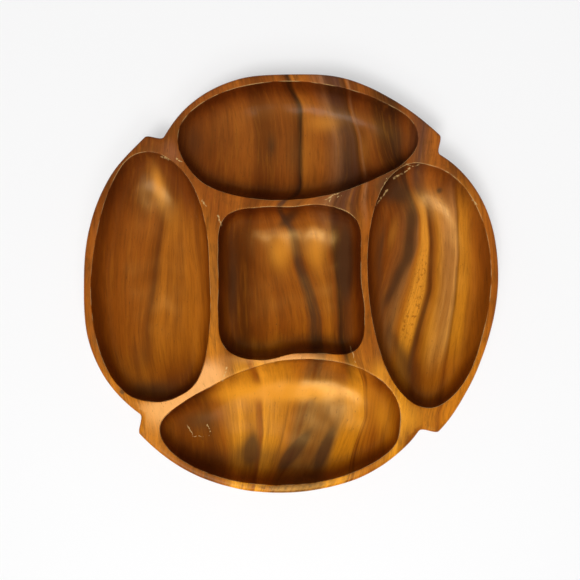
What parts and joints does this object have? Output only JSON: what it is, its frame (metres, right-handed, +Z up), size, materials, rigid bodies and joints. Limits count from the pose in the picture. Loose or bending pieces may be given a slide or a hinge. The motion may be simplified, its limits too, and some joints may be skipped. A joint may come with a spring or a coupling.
{
  "type": "divided serving bowl",
  "caption": "Low round carved wooden serving tray with egg-shaped hollows set round a rounded square one, and a pinwheel outline of stepped lobes.",
  "frame": {"origin": "middle of the flat underside, below the centre of the tray", "axes": "+Z up through the hollows, +Y along the grain and to the top of the picture, +X to its right"},
  "size_m": [0.3045, 0.3075, 0.038],
  "materials": {
    "rim_stave_wood": "gloss lacquer over carved tropical hardwood",
    "inner_stave_wood": "gloss lacquer over carved tropical hardwood",
    "centre_stave_wood": "gloss lacquer over carved tropical hardwood"
  },
  "bodies": {
    "root": {"left_rim_stave": "rim_stave_wood", "left_inner_stave": "inner_stave_wood", "centre_stave": "centre_stave_wood", "right_inner_stave": "inner_stave_wood", "right_rim_stave": "rim_stave_wood"}
  },
  "joints": []
}
